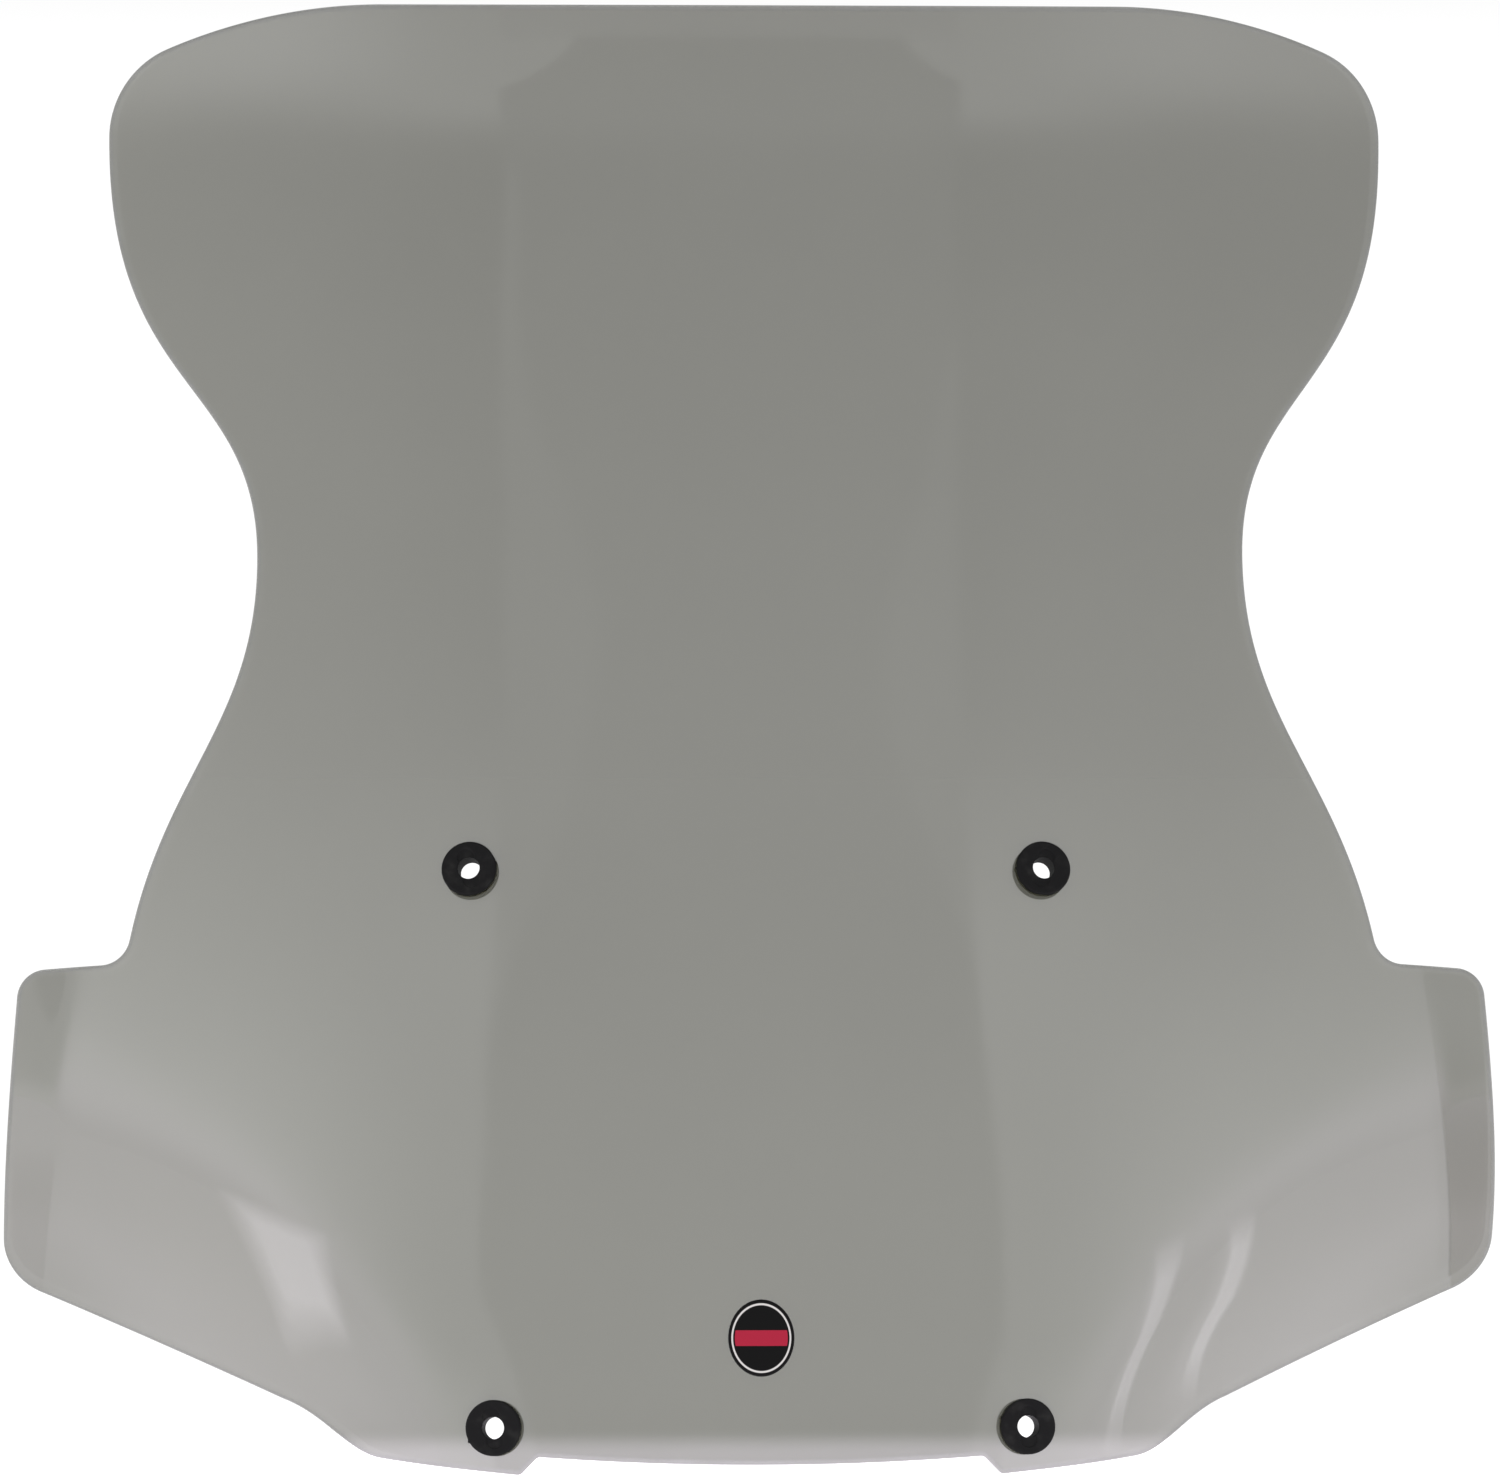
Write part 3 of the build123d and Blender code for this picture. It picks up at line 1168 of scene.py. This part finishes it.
@dataclass
class Grommet:
    """A moulded rubber grommet: two flanges, a neck and a bore, with the marks of its mould."""

    corner: Corner
    mark_turn: float
    nub_turn: float
    radius: float = 0.0110
    neck_radius: float = 0.0065
    flange: float = 0.0021
    edge_round: float = 0.0008
    lead: float = 0.0004
    mark_radius: float = 0.0034
    mark_reach: float = 0.0048
    mark_depth: float = 0.00042
    mark_soft: float = 0.00016
    mark_skin: Rise = (-0.0002, -0.0001)
    nub_height: float = 0.0007
    nub_width: float = 0.00045
    nub_length: float = 0.0008
    nub_root: float = 0.0006
    columns: int = 168
    face_rings: int = 24
    bore_rings: int = 6
    lead_spans: int = 3
    round_spans: int = 6
    under_rings: int = 5

    def section(self, half: float, bore: float) -> Profile:
        """Gives the closed section as radius and height.

        Args:
            half: Half the grommet's length.
            bore: The bore's radius.

        Returns:
            The section's points.
        """
        front = [(bore, (half - self.lead) * i / self.bore_rings) for i in range(self.bore_rings + 1)]
        for i in range(1, self.lead_spans + 1):
            turn = math.pi / 2 * i / self.lead_spans
            front.append((bore + self.lead * (1 - math.cos(turn)), half - self.lead * (1 - math.sin(turn))))
        start, end = bore + self.lead, self.radius - self.edge_round
        front += [(start + (end - start) * i / self.face_rings, half) for i in range(1, self.face_rings + 1)]
        for i in range(1, self.round_spans + 1):
            turn = math.pi / 2 * i / self.round_spans
            fall = self.edge_round * (1 - math.cos(turn))
            front.append((end + self.edge_round * math.sin(turn), half - fall))
        under, small = half - self.flange, self.edge_round / 4
        front += [(self.radius, under + small * 1.5), (self.radius, under + small)]
        front += [(self.radius - small * CORNER_CUT, under + small * CORNER_CUT), (self.radius - small, under)]
        run = self.neck_radius + small - self.radius + small
        front += [
            (self.radius - small + run * i / self.under_rings, under) for i in range(1, self.under_rings + 1)
        ]
        front += [(self.neck_radius, under - small), (self.neck_radius, under / 2), (self.neck_radius, 0.0)]
        return front + [(r, -h) for r, h in reversed(front[1:-1])]

    @classmethod
    def tree(cls) -> Press:
        """Builds the tree that wraps a flat strip round the bore and presses the mould's marks in.

        The strip has its turn in X, its radius in Y and its height in Z.

        Returns:
            The tree, with an input for each size and place.
        """
        press = Press("wrap_the_grommet")
        geometry = press.size("Geometry", "Geometry")
        names = ("Front height", "Mark radius", "Mark reach", "Mark depth", "Mark turn", "Outer radius")
        front, mark_radius, reach, dip, mark_turn, outer = (press.size(name) for name in names)
        nub_turn, nub_height, nub_level = (press.size(name) for name in ("Nub turn", "Nub height", "Nub level"))
        centre, axis = press.size("Centre", "Vector"), press.size("Axis", "Vector")
        finish = press.size("Finish", "Material")
        turn, radius, height = press.split(press.add("GeometryNodeInputPosition"))
        away = (turn - nub_turn).maths("COSINE")
        beside = (1.0 - away) * 2.0 * outer * outer / cls.nub_width**2
        level = (height - nub_level) / cls.nub_length
        outside = press.ramp(radius - outer, -cls.nub_root, 0.0)
        nub = nub_height * exponential(-(beside + level * level)) * outside
        wide = radius + nub
        x, y = wide * turn.maths("COSINE"), wide * turn.maths("SINE")
        mark_x, mark_y = reach * mark_turn.maths("COSINE"), reach * mark_turn.maths("SINE")
        near, far = (
            ((x - mark_x * way) * (x - mark_x * way) + (y - mark_y * way) * (y - mark_y * way)).maths("SQRT")
            for way in (1.0, -1.0)
        )
        from_mark = near.maths("MINIMUM", far) - mark_radius
        mark = press.ramp(from_mark, -cls.mark_soft, cls.mark_soft, 1.0, 0.0)
        on_face = press.ramp(height - front, *cls.mark_skin)
        sunk = height - dip * mark * on_face
        point = press.add("ShaderNodeCombineXYZ", inputs={"X": x, "Y": y, "Z": sunk})
        wrapped = press.add("GeometryNodeSetPosition", inputs={"Geometry": geometry, "Position": point})
        turned = press.add("FunctionNodeAlignRotationToVector", {"axis": "Z"}, {"Vector": axis})
        moved = {"Geometry": wrapped, "Translation": centre, "Rotation": turned}
        press.close(press.add("GeometryNodeTransform", inputs=moved), [(finish, None)])
        return press

    def flat(self, section: Profile) -> bpy.types.Mesh:
        """Builds the flat strip, which is closed along its section and round its turn.

        Args:
            section: The closed section, as radius and height.

        Returns:
            The flat mesh.
        """
        count = len(section)
        turns = [2 * math.pi * j / self.columns for j in range(self.columns)]
        vertices = [(turn, radius, height) for turn in turns for radius, height in section]
        rows = [range(j * count, (j + 1) * count) for j in range(self.columns)]
        faces = [face for near, far in zip(rows, [*rows[1:], rows[0]]) for face in between(near, far)]
        mesh = bpy.data.meshes.new("flat_grommet")
        mesh.from_pydata(vertices, [], faces)
        return mesh

    def build(self, press: Press, finish: bpy.types.Material) -> bpy.types.Object:
        """Builds and dresses the grommet.

        Args:
            press: The wrapping tree.
            finish: The rubber.

        Returns:
            The finished grommet.
        """
        mount = self.corner.mount
        half = mount.length / 2
        values = {
            "Front height": half,
            "Mark radius": self.mark_radius,
            "Mark reach": self.mark_reach,
            "Mark depth": self.mark_depth,
            "Mark turn": math.radians(self.mark_turn),
            "Outer radius": self.radius,
            "Nub turn": math.radians(self.nub_turn),
            "Nub height": self.nub_height,
            "Nub level": half - self.flange / 2,
            "Centre": mount.centre,
            "Axis": mount.axis,
            "Finish": finish,
        }
        flat = self.flat(self.section(half, mount.bore_radius))
        piece = press.run(f"rubber_{self.corner.node}", flat, values)
        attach(piece, BODY)
        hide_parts(self.corner.node)
        return piece


# ---------------------------------------------------------------- decal


@dataclass
class Decal:
    """A thin oval film that follows the sheet."""

    thickness: float = 0.00030
    gap: float = 0.00002
    edge_round: float = 0.00012
    points: int = 120
    rings: int = 14

    def flat(self) -> bpy.types.Mesh:
        """Builds the flat film, with its place taken from the CAD decal.

        Returns:
            The flat mesh.
        """
        low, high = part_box("decal")
        middle, half = (low + high) / 2, (high - low) / 2
        top, base = -(self.gap + self.thickness), -self.gap
        section = [((half.x - self.edge_round) * i / self.rings, top) for i in range(1, self.rings + 1)]
        section += [(half.x - self.edge_round * CORNER_CUT, top + self.edge_round * CORNER_CUT)]
        section += [(half.x, top + self.edge_round), (half.x, base)]
        section += [(half.x * i / self.rings, base) for i in range(self.rings - 1, 0, -1)]
        stretch = half.z - half.x
        vertices, rows = [(middle.x, top, middle.z), (middle.x, base, middle.z)], []
        for reach, through in section:
            rows.append(range(len(vertices), len(vertices) + self.points))
            for i in range(self.points):
                turn = 2 * math.pi * i / self.points
                tall = reach + stretch * reach / half.x
                vertices.append((middle.x + reach * math.cos(turn), through, middle.z + tall * math.sin(turn)))
        faces = [face for near, far in zip(rows, rows[1:]) for face in between(near, far)]
        for i in range(self.points):
            after = (i + 1) % self.points
            faces += [(0, rows[0][after], rows[0][i]), (1, rows[-1][i], rows[-1][after])]
        mesh = bpy.data.meshes.new("flat_decal")
        mesh.from_pydata(vertices, [], faces)
        return mesh

    def build(self, press: Press, values: Mapping[str, object]) -> bpy.types.Object:
        """Builds and dresses the film.

        Args:
            press: The forming tree.
            values: Its inputs.

        Returns:
            The finished film.
        """
        piece = press.run("decal_film", self.flat(), values)
        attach(piece, BODY)
        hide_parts("decal")
        return piece


# ---------------------------------------------------------------- studio


@dataclass(frozen=True)
class GlowCloth(Finish):
    """Cloth that glows by an amount that changes over it."""

    peak: float = 4.25
    full: float = 5.0

    def lit(self, bench: Bench, glow: Wire, dusk: Number = 0.0) -> dict[str, object]:
        """Gives the shader's inputs.

        Args:
            bench: The material's tree.
            glow: How much it glows, between nothing and full.
            dusk: The share of dusk in the glow's colour.

        Returns:
            Values and wires for the shader.
        """
        tint = bench.mixed(dusk, Dye.WHITE.paint(), Dye.DUSK.paint())
        return {
            "Base Color": Dye.NO_LIGHT.paint(),
            "Roughness": 1.0,
            "Specular IOR Level": 0.0,
            "Emission Color": bench.mixed(glow / self.full, Dye.NO_LIGHT.paint(), tint),
            "Emission Strength": self.peak,
        }


@dataclass(frozen=True)
class TentCloth(GlowCloth):
    """Glowing cloth of the light tent: bright low at the sides and dim above."""

    name: str = "tent_cloth"
    front_low: Rise = (0.02, 0.16, 1.9, 1.10)
    front_high: Rise = (0.60, 0.86, 0.0, 0.50)
    step: float = 0.50
    step_fall: Rise = (0.55, 0.85, 1.0, 0.3)
    side_turn: Rise = (0.47, 0.92)
    side_fall: Rise = (0.08, 0.82, 3.3, 0.9)
    side_foot: Rise = (-0.02, 0.20, 0.80, 1.0)
    side_lean: float = 0.15
    lean_rise: Rise = (0.05, 0.35)
    dusk_fall: Rise = (0.05, 0.45, 1.0, 0.0)

    def surface(self, bench: Bench, place: Wire) -> dict[str, object]:
        """Gives the shader's inputs.

        Args:
            bench: The material's tree.
            place: Object coordinates.

        Returns:
            Values and wires for the shader.
        """
        across, deep, up = bench.split(place)
        turn = across.maths("ARCTAN2", -deep)
        front = bench.ramp(up, *self.front_low) - bench.ramp(up, *self.front_high)
        front = front + bench.ramp(up, *self.step_fall) * self.step
        lean = turn * bench.ramp(up, *self.lean_rise) * self.side_lean
        sides = bench.ramp(up, *self.side_fall) * (1.0 - lean) * bench.ramp(up, *self.side_foot)
        grown = bench.ramp(magnitude(turn), *self.side_turn)
        return self.lit(bench, front + (sides - front) * grown, grown * bench.ramp(up, *self.dusk_fall))


@dataclass(frozen=True)
class BoardCloth(GlowCloth):
    """Dim cloth of the board across the room, with a darker bell on it that stands on the floor."""

    name: str = "board_cloth"
    rise: Rise = (0.90, 1.50, 1.08, 0.87)
    step: float = 0.50
    step_fall: Rise = (1.1, 1.6, 1.0, 0.25)
    bell_centre: float = 0.05
    bell_half: float = 0.86
    bell_edge: float = 0.012
    crown_foot: float = 1.0
    crown_round: float = 1.1
    hem_top: float = 0.5
    hem_slope: float = 0.6

    def surface(self, bench: Bench, place: Wire) -> dict[str, object]:
        """Gives the shader's inputs.

        Args:
            bench: The material's tree.
            place: Object coordinates.

        Returns:
            Values and wires for the shader.
        """
        across, _, up = bench.split(place)
        crown, hem = larger(up - self.crown_foot, 0.0), larger(self.hem_top - up, 0.0)
        half = self.bell_half - hem * self.hem_slope - crown * crown * crown * self.crown_round
        beside = bench.ramp(magnitude(across - self.bell_centre) - half, -self.bell_edge, self.bell_edge)
        front = bench.ramp(up, *self.rise)
        return self.lit(bench, front + beside * self.step * bench.ramp(up, *self.step_fall))


@dataclass(frozen=True)
class CardFace(Finish):
    """A glowing card that thins out to its edges, as its fade attribute says."""

    name: str = "card_face"
    glow: float = 4.0

    def surface(self, bench: Bench, place: Wire) -> dict[str, object]:
        """Gives the shader's inputs.

        Args:
            bench: The material's tree.
            place: Object coordinates, not used.

        Returns:
            Values and wires for the shader.
        """
        return {
            "Base Color": Dye.NO_LIGHT.paint(),
            "Roughness": 1.0,
            "Specular IOR Level": 0.0,
            "Alpha": bench.add("ShaderNodeAttribute", {"attribute_name": "fade"}, out="Fac"),
            "Emission Color": Dye.DUSK.paint(),
            "Emission Strength": self.glow,
        }


@dataclass(frozen=True)
class Card:
    """A strip of glowing card near the sheet, which shows only in its gloss."""

    name: str
    upper: tuple[Place, ...]
    lower: tuple[Place, ...]
    glow: float
    spans: int = 12
    faded: float = 0.25

    def along(self, edge: Sequence[Sequence[float]], share: float) -> Vector:
        """Finds a point on an edge.

        Args:
            edge: The edge's run of points.
            share: How far along it the point lies, from 0 to 1.

        Returns:
            The point.
        """
        spans = len(edge) - 1
        first = min(int(share * spans), spans - 1)
        return Vector(edge[first]).lerp(Vector(edge[first + 1]), share * spans - first)

    def hung(self) -> None:
        """Builds the card between its upper and lower edges."""
        vertices, fade, rows = [], [], []
        shares = [i / self.spans for i in range(self.spans + 1)]
        for down in shares:
            rows.append(range(len(vertices), len(vertices) + len(shares)))
            for across in shares:
                first, second = self.along(self.upper, across), self.along(self.lower, across)
                vertices.append(first.lerp(second, down))
                fade.append(min(1.0, min(across, 1 - across, down, 1 - down) / self.faded))
        faces = [face for near, far in zip(rows, rows[1:]) for face in between(near, far, closed=False)]
        card = hidden(self.name, vertices, faces, CardFace(f"{self.name}_face", self.glow).made())
        card.data.attributes.new("fade", "FLOAT", "POINT").data.foreach_set("value", fade)


def staged(mesh: bpy.types.Mesh, finish: bpy.types.Material) -> bpy.types.Object:
    """Adds a stage object.

    Args:
        mesh: Its mesh, which has its name.
        finish: Its glowing material.

    Returns:
        The stage object.
    """
    finish.cycles.emission_sampling = "NONE"  # keeps specks out of the gloss
    mesh.materials.append(finish)
    thing = linked(mesh.name, mesh)
    return thing


def hidden(
    name: str, vertices: Sequence[Sequence[float]], faces: Sequence[Face], finish: bpy.types.Material
) -> bpy.types.Object:
    """Adds a glowing stage mesh that shows only in the sheet's gloss.

    Args:
        name: The object's name.
        vertices: Its points.
        faces: Its faces.
        finish: Its glowing material.

    Returns:
        The stage object.
    """
    mesh = bpy.data.meshes.new(name)
    mesh.from_pydata([tuple(v) for v in vertices], [], faces)
    thing = staged(mesh, finish)
    thing.visible_camera = False
    thing.visible_shadow = False
    return thing


@dataclass(frozen=True)
class LightTent:
    """A round tent of glowing cloth before the screen, open in front."""

    radius: float = 0.80
    open_half: float = 0.46
    height: float = 1.30
    half_turn: float = 1.95
    columns: int = 96

    def hung(self) -> None:
        """Builds the tent's cloth."""
        turns = [self.half_turn * (2 * i / self.columns - 1) for i in range(self.columns + 1)]
        feet = [(self.radius * math.sin(t), -self.radius * math.cos(t), 0.0) for t in turns]
        tops = [(x, y, self.height) for x, y, _ in feet]
        count = len(feet)
        panels = between(range(count), range(count, 2 * count), closed=False)
        faces = [p for p in panels if abs(turns[p[0]] + turns[p[1]]) > 2 * self.open_half]
        hidden("light_tent", [*feet, *tops], faces, TentCloth().made())


@dataclass(frozen=True)
class FrontBoard:
    """The upright board across the room, seen through the tent's opening."""

    distance: float = 2.05
    half_width: float = 2.4
    height: float = 3.2

    def hung(self) -> None:
        """Builds the board."""
        ends = (-self.half_width, self.half_width)
        corners = [(x, -self.distance, z) for z in (0.0, self.height) for x in ends]
        hidden("front_board", corners, [(0, 1, 3, 2)], BoardCloth().made())


@dataclass(frozen=True)
class Softbox:
    """A soft area light that looks at a point of the screen."""

    name: str
    place: Place
    aim: Place
    width: float
    height: float
    power: float

    def hung(self) -> None:
        """Hangs the light."""
        light = bpy.data.lights.new(self.name, "AREA")
        light.shape = "RECTANGLE"
        light.size, light.size_y = self.width, self.height
        light.energy = self.power
        lamp = linked(self.name, light)
        lamp.location = self.place
        lamp.rotation_euler = (Vector(self.aim) - Vector(self.place)).to_track_quat("-Z", "Y").to_euler()
        lamp.visible_camera = False


@dataclass
class Studio:
    """A pale paper floor, soft light from the front and sides, and the camera."""

    floor_radius: float = 60.0
    floor_gap: float = 0.0002
    floor_sides: int = 96
    camera_place: Place = (-0.1274, -3.386, 0.2889)
    camera_heading: Place = (0.0372, 0.9993, 0.0)
    camera_lens: float = 202.0
    camera_sensor: float = 36.0
    camera_clip: tuple[float, float] = (0.05, 120.0)
    room_glow: Rise = (0.075, 0.14, 1.04, 0.42)

    def floor(self) -> None:
        """Lays the floor just under the screen's lowest point."""
        work = bmesh.new()
        bmesh.ops.create_circle(work, cap_ends=True, segments=self.floor_sides, radius=self.floor_radius)
        bmesh.ops.translate(work, verts=work.verts, vec=(0.0, 0.0, cad_box[0].z - self.floor_gap))
        mesh = bpy.data.meshes.new("studio_floor")
        work.to_mesh(mesh)
        work.free()
        staged(mesh, StudioPaper().made())

    def dome(self) -> None:
        """Makes the room's light: white at eye level, dimmer overhead."""
        world = bpy.data.worlds.new("studio_room")
        world.use_nodes = True
        bench = Bench(world.node_tree)
        way = bench.add("ShaderNodeTexCoord", out="Generated")
        _, _, up = bench.split(way)
        strength = bench.ramp(magnitude(up), *self.room_glow)
        shade = bench.add("ShaderNodeBackground", inputs={"Color": Dye.WHITE.paint(), "Strength": strength})
        bench.add("ShaderNodeOutputWorld", inputs={"Surface": shade})
        bpy.context.scene.world = world

    def lights(self) -> list[LightTent | FrontBoard | Softbox | Card]:
        """Lists everything that glows.

        Returns:
            The tent, the board, the light and the cards.
        """
        return [
            LightTent(),
            FrontBoard(),
            Softbox("softbox_top", (0.0, -0.4, 3.0), aim=(0.0, 0.0, 0.3), width=2.4, height=1.6, power=30.0),
            Card(
                "card_left",
                ((-0.316, -0.101, 0.097), (-0.238, -0.153, 0.114)),
                ((-0.245, -0.022, 0.010), (-0.226, -0.089, 0.029)),
                glow=4.7,
            ),
            Card(
                "card_right",
                ((0.2265, -0.1595, 0.114), (0.2415, -0.1445, 0.043), (0.1595, -0.0828, 0.001)),
                ((0.2430, -0.1430, 0.114), (0.2590, -0.1240, 0.043), (0.1758, -0.0732, 0.001)),
                glow=4.3,
            ),
            Card(
                "card_far_right",
                ((0.2815, -0.1260, 0.098), (0.2942, -0.0640, 0.017), (0.2255, -0.0360, 0.0050)),
                ((0.2945, -0.1100, 0.098), (0.2958, -0.0430, 0.017), (0.2286, -0.0260, 0.0050)),
                glow=4.3,
            ),
        ]

    def camera(self) -> None:
        """Sets the camera up."""
        data = bpy.data.cameras.new("camera")
        data.lens, data.sensor_width = self.camera_lens, self.camera_sensor
        data.clip_start, data.clip_end = self.camera_clip
        camera = linked("camera", data)
        camera.location = self.camera_place
        camera.rotation_euler = Vector(self.camera_heading).to_track_quat("-Z", "Y").to_euler()
        bpy.context.scene.camera = camera

    def build(self) -> None:
        """Builds the whole studio."""
        self.floor()
        self.dome()
        for light in self.lights():
            light.hung()
        self.camera()
        bpy.context.scene.view_settings.view_transform = "Standard"


# ---------------------------------------------------------------- the whole


def report(piece: bpy.types.Object) -> None:
    """Logs a finished piece."""
    logging.info("made %s with %d faces", piece.name, len(piece.data.polygons))


def main() -> None:
    """Builds every piece in order, then the studio."""
    logging.basicConfig(level=logging.INFO, format="%(message)s")
    screen = Screen()
    outline, form = screen.outline, screen.form
    low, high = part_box("decal")
    rubber = MouldedRubber().made()
    film = PrintedFilm(centre=tuple((low + high) / 2)).made()
    press = form.tree()
    values = {
        **asdict(form),
        "middle_depth": form.middle(outline.top_half, outline.top_widest_height, screen.thickness),
        "Face finish": SmokeSheet().made(),
        "Rim finish": CutRim().made(),
    }
    report(screen.build(press, values))
    wrap = Grommet.tree()
    turns = {  # how far each grommet's mould marks and its nub are turned, in degrees
        Corner.UPPER_LEFT: (96.0, 2.0),
        Corner.UPPER_RIGHT: (84.0, 190.0),
        Corner.LOWER_LEFT: (90.0, 200.0),
        Corner.LOWER_RIGHT: (100.0, 172.0),
    }
    for corner, (mark_turn, nub_turn) in turns.items():
        report(Grommet(corner, mark_turn, nub_turn).build(wrap, rubber))
    report(Decal().build(press, {**values, "Face finish": film, "Rim finish": film}))
    Studio().build()


if __name__ == "__main__":
    main()
